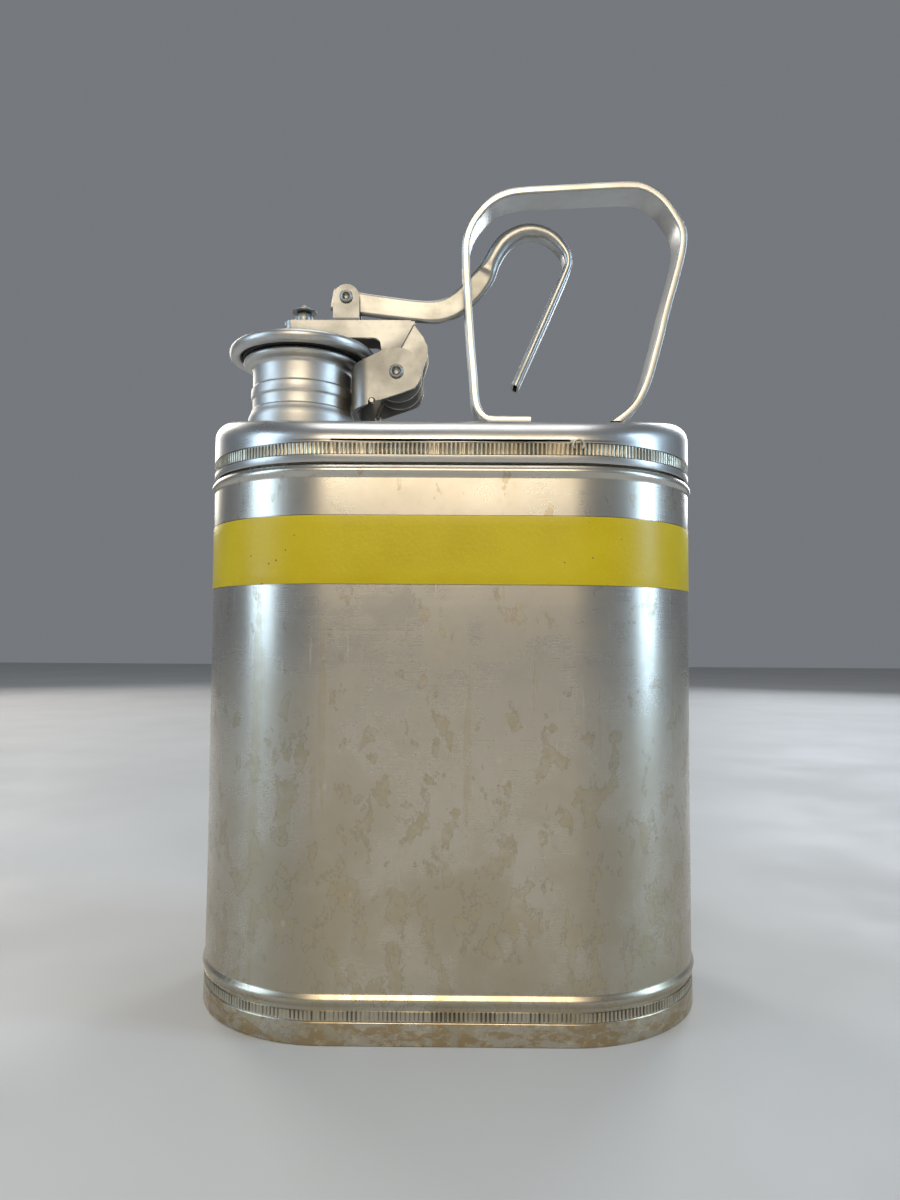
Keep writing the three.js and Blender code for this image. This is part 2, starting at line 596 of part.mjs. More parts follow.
// ---------------------------------------------------------------- carrying handle
// One flat strap. Its front foot lies along the lid's ridge, and its rear leg comes down at a
// slant and is cut off level where it is welded to a thin pad.
const half = STRAP_T / 2;
const Z_FOOT = Z_RIDGE + GAP + half;
const Z_PAD = [Z_RIDGE + GAP, Z_RIDGE + GAP + 0.9];
const strapLine = [
  [34.2, Z_FOOT], [26.0, Z_FOOT], [18.6, Z_FOOT], ...smooth([
    [15.4, Z_FOOT + 0.6], [12.3, 243.6], [10.75, 247.0], [10.0, 252.0], [9.45, 260.0],
    [8.2, 274.0],
    [7.3, 287.0], [6.3, 302.0], [5.9, 312.0], [5.9, 317.6], [6.8, 322.2], [8.8, 327.4],
    [11.9, 332.0], [15.6, 336.0], [20.0, 339.0], [25.4, 341.0], [32.0, 341.9], [42.0, 342.5],
    [53.9, 343.2], [66.0, 343.9], [76.5, 344.3], [82.4, 343.9], [87.4, 341.7],
    [92.2, 337.8], [97.0, 331.2], [99.9, 325.4], [100.55, 320.4], [99.5, 312.9],
    [96.4, 300.9], [93.1, 289.1], [90.4, 278.0], [87.7, 267.8], [85.8, 261.0],
    [83.9, 255.6], [80.25, 248.2], [76.3, 243.7], [72.3, 240.5], [67.0, 236.8],
  ], 76),
];
const strap = plate(strip(strapLine, () => STRAP_T), -STRAP_W / 2, STRAP_W / 2);
const leverSlot = join(
  block([-2, -4.7, 279.4], [16, 4.7, 312.6]),
  block([-2, -3.4, 277.9], [16, 3.4, 314.1]),
);
const belowPad = block([55, -20, 220], [95, 20, Z_PAD[1] + GAP]);
add('carry_handle', cut(strap, leverSlot, belowPad), strapSteel);
add('handle_pad', block([66.5, -7.4, Z_PAD[0]], [82.5, 7.4, Z_PAD[1]]), strapSteel);

export default can;
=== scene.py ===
import bpy
import bmesh
import math
from mathutils import Matrix, Vector, noise


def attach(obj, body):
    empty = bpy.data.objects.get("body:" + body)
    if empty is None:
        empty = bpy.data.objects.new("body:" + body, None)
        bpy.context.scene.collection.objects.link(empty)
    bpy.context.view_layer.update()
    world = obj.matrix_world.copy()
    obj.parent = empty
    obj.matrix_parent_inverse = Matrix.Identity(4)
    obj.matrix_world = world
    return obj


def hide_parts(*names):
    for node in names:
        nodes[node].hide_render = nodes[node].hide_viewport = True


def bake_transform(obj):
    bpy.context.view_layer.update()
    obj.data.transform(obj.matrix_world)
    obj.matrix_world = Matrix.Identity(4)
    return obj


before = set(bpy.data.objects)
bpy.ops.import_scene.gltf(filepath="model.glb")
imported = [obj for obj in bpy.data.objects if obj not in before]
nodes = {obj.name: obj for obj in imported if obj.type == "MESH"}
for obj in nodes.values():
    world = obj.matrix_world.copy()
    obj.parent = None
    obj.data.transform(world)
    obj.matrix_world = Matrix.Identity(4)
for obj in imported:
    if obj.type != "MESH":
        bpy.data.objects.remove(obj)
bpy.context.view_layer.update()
MM = 0.001

# ------------------------------------------------------------------ shared dimensions, mm
SPREAD, R_WALL = 44.45, 56.75
NECK_X, CAP_X = -65.8, -65.5
PIN = (-23.3, 258.6)
PIVOT = (-46.5, 295.6)
Z_RIDGE = 238.4


def roof(y):
    """Height of the lid's soft ridge at a distance y from its middle."""
    return Z_RIDGE + 0.27 * (13.0 - math.hypot(y, 13.0))


# ------------------------------------------------------------------ materials
class Look:
    """A small builder for one procedural Principled material."""

    def __init__(self, name, metallic):
        self.material = bpy.data.materials.new(name)
        self.material.use_nodes = True
        self.tree = self.material.node_tree
        self.tree.nodes.clear()
        self.shader = self.node("ShaderNodeBsdfPrincipled")
        self.shader.inputs["Metallic"].default_value = metallic
        out = self.node("ShaderNodeOutputMaterial")
        self.tree.links.new(self.shader.outputs[0], out.inputs[0])
        self.here = self.node("ShaderNodeTexCoord").outputs["Object"]

    def node(self, kind, **settings):
        made = self.tree.nodes.new(kind)
        for key, value in settings.items():
            setattr(made, key, value)
        return made

    def feed(self, socket, value):
        if isinstance(value, bpy.types.NodeSocket):
            self.tree.links.new(value, socket)
        elif isinstance(value, (tuple, list)) and len(value) == 3 and socket.type == "RGBA":
            socket.default_value = (*value, 1)
        else:
            socket.default_value = value

    def mapped(self, scale, turn=(0, 0, 0)):
        m = self.node("ShaderNodeMapping")
        self.feed(m.inputs["Vector"], self.here)
        m.inputs["Rotation"].default_value = [math.radians(t) for t in turn]
        m.inputs["Scale"].default_value = scale
        return m.outputs[0]

    def noise(self, scale, detail=3.0, roughness=0.55, turn=(0, 0, 0), distortion=0.0):
        scale = scale if isinstance(scale, tuple) else (scale, scale, scale)
        n = self.node("ShaderNodeTexNoise")
        self.feed(n.inputs["Vector"], self.mapped(scale, turn))
        n.inputs["Scale"].default_value = 1.0
        n.inputs["Detail"].default_value = detail
        n.inputs["Roughness"].default_value = roughness
        n.inputs["Distortion"].default_value = distortion
        return n.outputs[0]

    def spots(self, scale, size):
        v = self.node("ShaderNodeTexVoronoi")
        scale = scale if isinstance(scale, tuple) else (scale, scale, scale)
        self.feed(v.inputs["Vector"], self.mapped(scale))
        v.inputs["Scale"].default_value = 1.0
        return self.span(v.outputs["Distance"], size, size * 0.45, 0.0, 1.0)

    def span(self, value, low, high, to_low=0.0, to_high=1.0):
        r = self.node("ShaderNodeMapRange")
        r.interpolation_type = "SMOOTHSTEP"
        self.feed(r.inputs["Value"], value)
        for key, number in zip(("From Min", "From Max", "To Min", "To Max"),
                               (low, high, to_low, to_high)):
            r.inputs[key].default_value = number
        return r.outputs[0]

    def math(self, kind, a, b=0.0):
        m = self.node("ShaderNodeMath", operation=kind)
        self.feed(m.inputs[0], a)
        self.feed(m.inputs[1], b)
        return m.outputs[0]

    def blend(self, factor, a, b):
        m = self.node("ShaderNodeMix", data_type="RGBA")
        self.feed(m.inputs["Factor"], factor)
        self.feed(m.inputs["A"], a)
        self.feed(m.inputs["B"], b)
        return m.outputs["Result"]

    def axis(self, letter):
        s = self.node("ShaderNodeSeparateXYZ")
        self.feed(s.inputs[0], self.here)
        return s.outputs[letter]

    def color(self, value):
        self.feed(self.shader.inputs["Base Color"], value)

    def rough(self, value):
        self.feed(self.shader.inputs["Roughness"], value)

    def bump(self, layers):
        normal = None
        for height, strength, distance in layers:
            b = self.node("ShaderNodeBump")
            b.inputs["Strength"].default_value = strength
            b.inputs["Distance"].default_value = distance
            self.feed(b.inputs["Height"], height)
            if normal is not None:
                self.feed(b.inputs["Normal"], normal)
            normal = b.outputs[0]
        self.feed(self.shader.inputs["Normal"], normal)


def steel(name, base, stain, rough=(0.24, 0.4), brush=(60, 60, 2400), grain=0.06,
          stained=0.5, pits=0.3, runs=0.0, scuffs=0.3, foot=None, groove_shade=False):
    """Satin stainless: fine brushing, clouded tarnish, dried runs, pits and scuffs, with painted shade
    towards the foot and in weld grooves.
    """
    k = Look(name, 1.0)
    lines = k.noise(brush, 1.0, 0.5)
    cloud = k.noise(30, 5.0, 0.6, distortion=0.3)
    mottle = k.noise(240, 4.0, 0.62)
    dark = tuple(c * 0.8 for c in stain)
    color = k.blend(k.span(cloud, 0.42, 0.70, 0.0, stained), base, stain)
    color = k.blend(k.span(mottle, 0.50, 0.74, 0.0, 0.35 * stained), color, dark)
    color = k.blend(k.span(lines, 0.30, 0.75, 0.0, 0.06), color, tuple(c * 0.82 for c in base))
    film = None
    if runs:
        # painted shade: the colour darkens to tan towards the foot, clouded by the tarnish noise
        low = k.span(k.axis("Z"), 0.165, 0.035, 0.0, 0.62)
        painted_foot_shade = k.math("MULTIPLY", low, k.span(cloud, 0.30, 0.62, 0.55, 1.0))
        color = k.blend(painted_foot_shade, color, tuple(c * f for c, f in zip(stain, (0.84, 0.80, 0.70))))
        # water marks: flat-edged films of dried liquid, thicker towards the foot
        height = k.span(k.axis("Z"), 0.150, 0.030, 0.0, 0.075)
        drawn = k.noise((120, 120, 74), 6.0, 0.60, distortion=0.15)
        streak = k.noise((120, 120, 6.0), 3.0, 0.55, distortion=0.2)
        level = k.math("ADD", drawn, height)
        film = k.math("MAXIMUM", k.span(level, 0.612, 0.630, 0.0, runs),
                      k.span(streak, 0.650, 0.675, 0.0, runs * 0.7))
        film = k.math("MULTIPLY", film, k.span(mottle, 0.34, 0.60, 0.25, 1.0))
        color = k.blend(film, color, tuple(c * f for c, f in zip(stain, (1.0, 0.97, 0.86))))
        rim = k.math("MULTIPLY", k.span(level, 0.604, 0.616), k.span(level, 0.636, 0.620))
        color = k.blend(k.math("MULTIPLY", rim, 0.55 * runs), color, tuple(c * 0.6 for c in stain))
        drops = k.spots((95, 95, 60), 0.13)
        few = k.span(k.noise(40, 2.0), 0.50, 0.56)
        color = k.blend(k.math("MULTIPLY", k.math("MULTIPLY", drops, few), 0.5 * runs),
                        color, tuple(min(1.0, c * 1.12) for c in base))
    if foot:
        height, rust, pale = foot
        near = k.span(k.axis("Z"), height, height * 0.55, 0.0, 1.0)
        patch = k.span(k.noise((120, 120, 260), 5.0, 0.68, distortion=0.3), 0.46, 0.56, 0.05, 0.80)
        flake = k.span(k.noise((260, 260, 420), 5.0, 0.7), 0.56, 0.62, 0.0, 0.40)
        color = k.blend(k.math("MULTIPLY", near, patch), color, rust)
        color = k.blend(k.math("MULTIPLY", near, flake), color, pale)
    if groove_shade:
        # painted shade: the tick valleys of the seam welds darkened almost to black
        mark = k.node("ShaderNodeAttribute", attribute_name="groove").outputs["Fac"]
        color = k.blend(k.span(mark, 0.25, 0.85, 0.0, 0.88), color, (0.075, 0.060, 0.042))
    spots = k.spots(430, 0.09)
    rare = k.span(k.noise(80, 2.0), 0.54, 0.62)
    pit = k.math("MULTIPLY", spots, rare)
    color = k.blend(k.math("MULTIPLY", pit, pits), color, tuple(c * 0.20 for c in stain))
    k.color(color)
    scuff = k.math("ADD", k.span(k.noise((1100, 1100, 26), 2.0, 0.5, turn=(0, 36, 0)),
                                 0.70, 0.78, 0, scuffs),
                   k.span(k.noise((900, 900, 34), 2.0, 0.5, turn=(0, -52, 20)),
                          0.71, 0.79, 0, scuffs))
    level = k.span(cloud, 0.3, 0.75, rough[0], rough[1])
    level = k.math("ADD", level, k.span(lines, 0.25, 0.75, -0.008, 0.010))
    level = k.math("ADD", level, k.math("MULTIPLY", scuff, 0.12))
    if film:
        level = k.math("ADD", level, k.math("MULTIPLY", film, 0.07))
    k.rough(k.math("ADD", level, k.math("MULTIPLY", pit, 0.25)))
    layers = [
        (lines, grain, 0.00003), (mottle, 0.05, 0.0002),
        (k.math("SUBTRACT", 1.0, pit), 0.35 * pits, 0.0002),
        (k.math("SUBTRACT", 1.0, scuff), 0.08, 0.00008),
    ]
    if film:
        layers.append((film, 0.06, 0.00006))
    k.bump(layers)
    return k.material


def painted():
    k = Look("marker_paint", 0.0)
    cloud = k.noise(30, 4.0)
    fine = k.noise(900, 3.0, 0.6)
    color = k.blend(k.span(cloud, 0.35, 0.7), (0.55, 0.415, 0.004), (0.60, 0.465, 0.006))
    color = k.blend(k.span(fine, 0.58, 0.72, 0, 0.35), color, (0.70, 0.56, 0.05))
    chip = k.math("MULTIPLY", k.spots(260, 0.12), k.span(k.noise(44, 3.0), 0.56, 0.60))
    # chips gather within 1.3 mm of the band's two edges
    top = k.span(k.axis("Z"), 0.1898, 0.1911)
    foot = k.span(k.axis("Z"), 0.1668, 0.1655)
    rim = k.math("MULTIPLY", k.math("ADD", top, foot), k.span(k.noise(330, 3.0), 0.66, 0.72))
    worn = k.math("MAXIMUM", chip, rim)
    k.color(k.blend(worn, color, (0.11, 0.09, 0.05)))
    k.rough(k.math("ADD", k.span(cloud, 0.3, 0.7, 0.30, 0.42), k.math("MULTIPLY", worn, 0.3)))
    k.shader.inputs["Specular IOR Level"].default_value = 0.38
    k.bump([
        (k.noise(650, 2.0, 0.5), 0.28, 0.00025), (fine, 0.10, 0.0001),
        (k.math("SUBTRACT", 1.0, worn), 0.4, 0.0003),
    ])
    return k.material


def rubber():
    k = Look("gasket_rubber", 0.0)
    dust = k.span(k.noise(240, 4.0), 0.5, 0.7, 0, 0.5)
    k.color(k.blend(dust, (0.018, 0.018, 0.018), (0.075, 0.070, 0.062)))
    k.rough(k.span(k.noise(120, 3.0), 0.3, 0.7, 0.62, 0.88))
    k.bump([(k.noise(1500, 3.0), 0.25, 0.0002)])
    return k.material


RUST, SCALE = (0.40, 0.29, 0.155), (0.74, 0.64, 0.42)
BODY = steel("body_steel", (0.62, 0.585, 0.52), (0.47, 0.415, 0.315), rough=(0.25, 0.33),
             brush=(5, 5, 1900), grain=0.004, stained=0.4, pits=0.8, runs=0.7, scuffs=0.9,
             foot=(0.0125, RUST, SCALE))
WELD = steel("weld_steel", (0.53, 0.485, 0.385), (0.33, 0.265, 0.16), rough=(0.30, 0.46),
             brush=(500, 500, 500), grain=0.03, stained=0.7, pits=0.5, scuffs=0.2,
             groove_shade=True)
LID = steel("lid_steel", (0.58, 0.575, 0.56), (0.46, 0.435, 0.385), rough=(0.27, 0.37),
            brush=(5, 5, 1700), grain=0.004, stained=0.4, pits=0.6, scuffs=0.5)
CAP = steel("cap_steel", (0.56, 0.55, 0.53), (0.43, 0.405, 0.355), rough=(0.33, 0.45),
            brush=(500, 500, 900), grain=0.03, stained=0.5, pits=0.7, scuffs=0.5)
NECK = steel("neck_steel", (0.61, 0.60, 0.575), (0.46, 0.435, 0.385), rough=(0.40, 0.50),
             brush=(500, 500, 900), grain=0.03, stained=0.45, pits=0.7, scuffs=0.5)
HINGE = steel("hinge_steel", (0.38, 0.38, 0.37), (0.265, 0.255, 0.23), rough=(0.36, 0.52),
              brush=(60, 60, 1500), grain=0.05, stained=0.75, pits=1.0, scuffs=1.0)
LEVER = steel("lever_steel", (0.40, 0.40, 0.385), (0.28, 0.268, 0.238), rough=(0.33, 0.46),
              brush=(60, 1100, 900), grain=0.05, stained=0.75, pits=1.0, scuffs=1.0)
STRAP = steel("strap_steel", (0.50, 0.50, 0.485), (0.39, 0.375, 0.335), rough=(0.27, 0.38),
              brush=(70, 2600, 70), grain=0.05, stained=0.4, pits=0.6, scuffs=0.5)
SPRING = steel("spring_steel", (0.40, 0.38, 0.345), (0.24, 0.20, 0.15), rough=(0.36, 0.5),
               brush=(700, 700, 700), grain=0.03, stained=0.7, pits=0.6)
DULL = steel("dull_steel", (0.36, 0.35, 0.33), (0.23, 0.20, 0.165), rough=(0.42, 0.6),
             brush=(700, 700, 700), grain=0.04, stained=0.7, pits=0.6)
PAINT = painted()
RUBBER = rubber()


# ------------------------------------------------------------------ mesh helpers
def finish_piece(obj, material, body, replaced=(), smooth=35):
    """Material, shading and body of a piece, and the parts it replaces hidden. A piece given no body
    stays unattached.
    """
    obj.data.materials.clear()
    obj.data.materials.append(material)
    obj.data.polygons.foreach_set("use_smooth", [True] * len(obj.data.polygons))
    if smooth:
        obj.data.set_sharp_from_angle(angle=math.radians(smooth))
    if body:
        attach(obj, body)
    if replaced:
        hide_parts(*replaced)
    return obj


def made(name, verts, faces):
    """A clean mesh object, faces out, from points in millimetres."""
    mesh = bpy.data.meshes.new(name)
    mesh.from_pydata([[c * MM for c in v] for v in verts], [], faces)
    bm = bmesh.new()
    bm.from_mesh(mesh)
    bmesh.ops.remove_doubles(bm, verts=bm.verts, dist=1e-7)
    bmesh.ops.dissolve_degenerate(bm, edges=bm.edges, dist=1e-8)
    bmesh.ops.recalc_face_normals(bm, faces=bm.faces)
    if bm.calc_volume(signed=True) < 0:
        bmesh.ops.reverse_faces(bm, faces=bm.faces)
    bm.to_mesh(mesh)
    bm.free()
    obj = bpy.data.objects.new(name, mesh)
    bpy.context.scene.collection.objects.link(obj)
    return obj


def rounded(profile, radius, steps=4):
    """A profile with each corner but its two ends turned into a small arc."""
    out = []
    n = len(profile)
    for i, p in enumerate(profile):
        if i in (0, n - 1):
            out.append(p)
            continue
        a, b, c = (Vector(profile[i - 1]), Vector(p), Vector(profile[i + 1]))
        ab, cb = (a - b), (c - b)
        r = min(radius, ab.length * 0.45, cb.length * 0.45)
        s, e = b + ab.normalized() * r, b + cb.normalized() * r
        for k in range(steps + 1):
            t = k / steps
            q = s * (1 - t) ** 2 + b * (2 * t * (1 - t)) + e * t ** 2
            out.append((q.x, q.y))
    return out


def lathe(name, profile, centre=(0, 0), steps=96, along="Z", lift=None):
    """Turned piece from (radius, height) pairs; lift(y, h) may move a point up or down."""
    closed = profile[0] == profile[-1]
    points = profile[:-1] if closed else profile
    verts, faces = [], []
    n = len(points)
    for i in range(steps):
        a = 2 * math.pi * i / steps
        for r, h in points:
            u, v = r * math.cos(a), r * math.sin(a)
            if along == "Z":
                x, y = centre[0] + u, centre[1] + v
                verts.append((x, y, h if lift is None else lift(y, h)))
            else:
                verts.append((centre[0] + u, h, centre[1] + v))
    for i in range(steps):
        b = ((i + 1) % steps) * n
        a = i * n
        for j in range(n if closed else n - 1):
            k = (j + 1) % n
            faces.append((a + j, a + k, b + k, b + j))
    if not closed:
        for j in (0, n - 1):
            if points[j][0] > 1e-9:
                faces.append([i * n + j for i in range(steps)])
    return made(name, verts, faces)


def oval_columns(around, straight):
    """Stations round the oval plan: an arc centre or straight point on X, and the outward direction."""
    out = []
    for side in (1, -1):
        for i in range(around + 1):
            a = -math.pi / 2 + math.pi * i / around + (0 if side > 0 else math.pi)
            out.append((side * SPREAD, math.cos(a), math.sin(a)))
        for i in range(1, straight):
            t = i / straight
            x = side * SPREAD * (1 - 2 * t)
            out.append((x, 0.0, side))
    return out


def oval_piece(name, profile, shape=None, around=72, straight=44):
    """A closed profile carried round the oval plan. shape(cx, nx, ny, r, z) may move a point."""
    columns = oval_columns(around, straight)
    verts, faces = [], []
    n = len(profile)
    for cx, nx, ny in columns:
        for r, z in profile:
            dr, dz = shape(cx, nx, ny, r, z) if shape else (0.0, 0.0)
            verts.append((cx + nx * (r + dr), ny * (r + dr), z + dz))
    m = len(columns)
    for i in range(m):
        a, b = i * n, ((i + 1) % m) * n
        for j in range(n):
            k = (j + 1) % n
            faces.append((a + j, b + j, b + k, a + k))
    return made(name, verts, faces)


def tube(name, points, radius, sides):
    """A round wire along a smooth line of points."""
    pts = [Vector(p) for p in points]
    verts, faces = [], []
    previous = None
    for i, p in enumerate(pts):
        d = (pts[min(i + 1, len(pts) - 1)] - pts[max(i - 1, 0)]).normalized()
        if previous is None:
            u = d.orthogonal().normalized()
        else:
            u = (previous - d * previous.dot(d)).normalized()
        previous = u
        w = d.cross(u)
        for k in range(sides):
            a = 2 * math.pi * k / sides
            verts.append(p + (u * math.cos(a) + w * math.sin(a)) * radius)
    for i in range(len(pts) - 1):
        for k in range(sides):
            a, b = i * sides, (i + 1) * sides
            q = (k + 1) % sides
            faces.append((a + k, a + q, b + q, b + k))
    faces.append(list(range(sides))[::-1])
    faces.append([(len(pts) - 1) * sides + k for k in range(sides)])
    return made(name, verts, faces)


def catmull(points, per=6):
    """Points of a smooth curve through the given ones, any number of coordinates."""
    out = []
    p = [points[0]] + list(points) + [points[-1]]
    for i in range(1, len(p) - 2):
        for s in range(per):
            t = s / per
            out.append(tuple(
                0.5 * (2 * b + (c - a) * t + (2 * a - 5 * b + 4 * c - d) * t * t
                       + (3 * b - a - 3 * c + d) * t ** 3)
                for a, b, c, d in zip(p[i - 1], p[i], p[i + 1], p[i + 2])))
    out.append(tuple(points[-1]))
    return out


def centripetal(points, per):
    """A smooth curve through unevenly spaced points, without loops or overshoot."""
    pts = [Vector(p) for p in points]
    pts = [pts[0] * 2 - pts[1]] + pts + [pts[-1] * 2 - pts[-2]]
    out = []
    for a, b, c, d in zip(pts, pts[1:], pts[2:], pts[3:]):
        t0 = 0.0
        t1 = t0 + (b - a).length ** 0.5
        t2 = t1 + (c - b).length ** 0.5
        t3 = t2 + (d - c).length ** 0.5
        for i in range(per):
            t = t1 + (t2 - t1) * i / per
            p1 = a * ((t1 - t) / (t1 - t0)) + b * ((t - t0) / (t1 - t0))
            p2 = b * ((t2 - t) / (t2 - t1)) + c * ((t - t1) / (t2 - t1))
            p3 = c * ((t3 - t) / (t3 - t2)) + d * ((t - t2) / (t3 - t2))
            q1 = p1 * ((t2 - t) / (t2 - t0)) + p2 * ((t - t0) / (t2 - t0))
            q2 = p2 * ((t3 - t) / (t3 - t1)) + p3 * ((t - t1) / (t3 - t1))
            out.append(tuple(q1 * ((t2 - t) / (t2 - t1)) + q2 * ((t - t1) / (t2 - t1))))
    return out + [tuple(points[-1])]


def refined(node, name, width, segments, fold=None):
    """The CAD node's own shape as clean faces, with its edges broken by a small bevel.

    fold is (test, radius): edges whose ends pass the test are bent to that radius first."""
    source = nodes[node]
    bm = bmesh.new()
    bm.from_mesh(source.data)
    bmesh.ops.remove_doubles(bm, verts=bm.verts, dist=2e-6)
    bmesh.ops.dissolve_limit(bm, angle_limit=math.radians(1.5), verts=bm.verts, edges=bm.edges)
    if fold:
        test, radius = fold
        edges = [e for e in bm.edges if test(e.verts[0].co / MM) and test(e.verts[1].co / MM)
                 and e.calc_face_angle(0) > math.radians(40)]
        bmesh.ops.bevel(bm, geom=edges, offset=radius * MM, segments=6, profile=0.5,
                        affect="EDGES", clamp_overlap=True)
    mesh = bpy.data.meshes.new(name)
    bm.to_mesh(mesh)
    bm.free()
    obj = bpy.data.objects.new(name, mesh)
    bpy.context.scene.collection.objects.link(obj)
    bevel = obj.modifiers.new("edges", "BEVEL")
    bevel.width = width * MM
    bevel.segments = segments
    bevel.limit_method = "ANGLE"
    bevel.angle_limit = math.radians(32)
    bevel.harden_normals = False
    return obj


def carved(obj, *cutters):
    """The object with the cutters taken out of it; the cutters are removed."""
    for cutter in cutters:
        cut = obj.modifiers.new("cut", "BOOLEAN")
        cut.object = cutter
        cut.operation = "DIFFERENCE"
        cut.solver = "EXACT"
    bpy.context.view_layer.update()
    evaluated = obj.evaluated_get(bpy.context.evaluated_depsgraph_get())
    mesh = bpy.data.meshes.new_from_object(evaluated)
    obj.modifiers.clear()
    obj.data = mesh
    for cutter in cutters:
        bpy.data.objects.remove(cutter)
    return obj


# ------------------------------------------------------------------ body
def bead(z0, z1, crest):
    """Half of a rolled rib, from the wall out to its crest and back."""
    steps = 12
    return [(R_WALL + (crest - R_WALL) * math.sin(math.pi * i / steps) ** 1.2,
             z0 + (z1 - z0) * i / steps) for i in range(steps + 1)]


def wall_shape(cx, nx, ny, r, z):
    """Slight unevenness of hand-worn sheet, and the lap seam down the back."""
    if r < 56.0 or z < 19 or z > 205:
        return 0.0, 0.0
    fade = min(1.0, (z - 19) / 14, (205 - z) / 10)
    x, y = cx + nx * r, ny * r
    wave = noise.noise(Vector((x * 0.021, y * 0.021, z * 0.017)))
    fine = noise.noise(Vector((x * 0.06 + 7, y * 0.06, z * 0.045)))
    seam = 0.22 * math.exp(-(x / 2.2) ** 2) if ny > 0.5 else 0.0
    return fade * (0.22 * wave + 0.05 * fine + seam), 0.0


R_IN = R_WALL - 1.2
body_profile = (
    rounded([(55.6, 0.25), (55.85, 0.0), (56.8, 0.0), (57.15, 0.3), (57.15, 8.2),
             (56.7, 8.6)], 0.35, 4)
    + [(56.6, 8.8), (56.6, 12.0), (56.75, 12.5)]
    + bead(13.4, 18.1, 57.75)
    + [(R_WALL, 18.6 + (165.0 - 18.6) * i / 44) for i in range(45)]
    + [(R_WALL, 165.35), (56.4, 165.45), (56.4, 191.15), (R_WALL, 191.25)]
    + [(R_WALL, 191.8 + (205.0 - 191.8) * i / 7) for i in range(8)]
    + bead(205.6, 209.9, 57.8)[:-1]
    + [(56.6, 210.0), (55.6, 210.5), (55.3, 211.2), (55.3, 219.5), (54.1, 219.5),
       (54.1, 208.5), (R_IN, 206.5), (R_IN, 100.0), (R_IN, 2.0)]
)
body = oval_piece("can_body", body_profile, wall_shape)
finish_piece(body, BODY, "can", ["body_shell"])

R_PAN = R_IN - 0.3
pan = oval_piece("base_pan", [
    (0.01, 15.2), (30, 15.0), (R_PAN - 7, 14.2), (R_PAN - 5, 13.9), (R_PAN - 3, 13.3),
    (R_PAN - 1.6, 12.6), (R_PAN - 0.6, 11.6), (R_PAN, 10.2), (R_PAN, 0.9),
    (R_PAN - 0.3, 0.7), (R_PAN - 1.2, 0.8), (R_PAN - 1.2, 9.8), (R_PAN - 1.7, 11.0),
    (R_PAN - 2.6, 11.8), (R_PAN - 4.2, 12.4), (R_PAN - 7.4, 13.0), (30, 13.8), (0.01, 14.0),
], around=40, straight=12)
finish_piece(pan, BODY, "can", ["bottom_pan"])

paint_profile = rounded([
    (56.5, 178.0), (56.5, 165.7), (56.9, 165.6), (56.92, 170.0), (56.92, 187.0),
    (56.9, 191.0), (56.5, 190.9), (56.5, 178.0)], 0.12, 3)[:-1]
band = oval_piece("painted_band", paint_profile, lambda cx, nx, ny, r, z: (
    (0.16 * noise.noise(Vector(((cx + nx * r) * 0.021, ny * r * 0.021, z * 0.017))), 0.0)))
finish_piece(band, PAINT, "can", ["marker_band"])


# ------------------------------------------------------------------ seam-weld bands
TICK_PITCH, TICK_DEPTH, TICK_STEPS = 1.6, 0.40, 5


def weld_band(name, z0, z1, r):
    """A roller seam weld: a ring of fine upright ticks of uneven depth."""
    ends = math.pi * r
    total = 2 * ends + 4 * SPREAD
    n = round(total / TICK_PITCH) * TICK_STEPS
    rows = [(r - 0.9, z0), (r - 0.05, z0), (r, z0 + 0.35), (r, (z0 + z1) / 2),
            (r, z1 - 0.35), (r - 0.05, z1), (r - 0.9, z1)]
    verts, faces, groove = [], [], []
    for i in range(n):
        s = total * i / n
        if s < ends:
            a = -math.pi / 2 + s / r
            cx, nx, ny = SPREAD, math.cos(a), math.sin(a)
        elif s < ends + 2 * SPREAD:
            cx, nx, ny = SPREAD - (s - ends), 0.0, 1.0
        elif s < 2 * ends + 2 * SPREAD:
            a = math.pi / 2 + (s - ends - 2 * SPREAD) / r
            cx, nx, ny = -SPREAD, math.cos(a), math.sin(a)
        else:
            cx, nx, ny = -SPREAD + (s - 2 * ends - 2 * SPREAD), 0.0, -1.0
        uneven = 0.8 + 0.7 * noise.noise(Vector((s * 0.11, z0, 0))) \
            + 0.4 * noise.noise(Vector((s * 0.7, z0, 3)))
        tick = (0.5 + 0.5 * math.cos(2 * math.pi * i / TICK_STEPS)) * max(0.12, uneven)
        for j, (q, z) in enumerate(rows):
            d = -TICK_DEPTH * tick if j in (2, 3, 4) else 0.0
            wob = 0.12 * noise.noise(Vector((s * 0.05, z * 0.3, 9))) if j in (1, 5) else 0
            verts.append((cx + nx * (q + d), ny * (q + d), z + wob))
            groove.append(min(1.0, tick) if 1 <= j <= 5 else 0.4)
    k = len(rows)
    for i in range(n):
        a, b = i * k, ((i + 1) % n) * k
        for j in range(k):
            q = (j + 1) % k
            faces.append((a + j, b + j, b + q, a + q))
    piece = finish_piece(made(name, verts, faces), WELD, "can", smooth=60)
    # the groove value also sets the painted shade in the tick valleys
    layer = piece.data.attributes.new("groove", "FLOAT", "POINT")
    layer.data.foreach_set("value", groove)
    return piece


weld_band("weld_band_low", 8.75, 12.05, 57.05)
weld_band("weld_band_top", 213.9, 218.2, 57.0)

# ------------------------------------------------------------------ lid
FOLD = 221.0


def lid_profile(inset):
    r = R_WALL + 0.2 - inset
    corner = 7.5 - inset
    top = Z_RIDGE - inset
    shoulder = [(r - corner + corner * math.cos(math.radians(a)),
                 top - corner + corner * math.sin(math.radians(a)))
                for a in range(0, 91, 6)]
    inner = [((r - corner) * t, top) for t in
             (0.94, 0.88, 0.8, 0.7, 0.6, 0.5, 0.4, 0.3, 0.2, 0.1, 0.0002)]
    return shoulder + inner


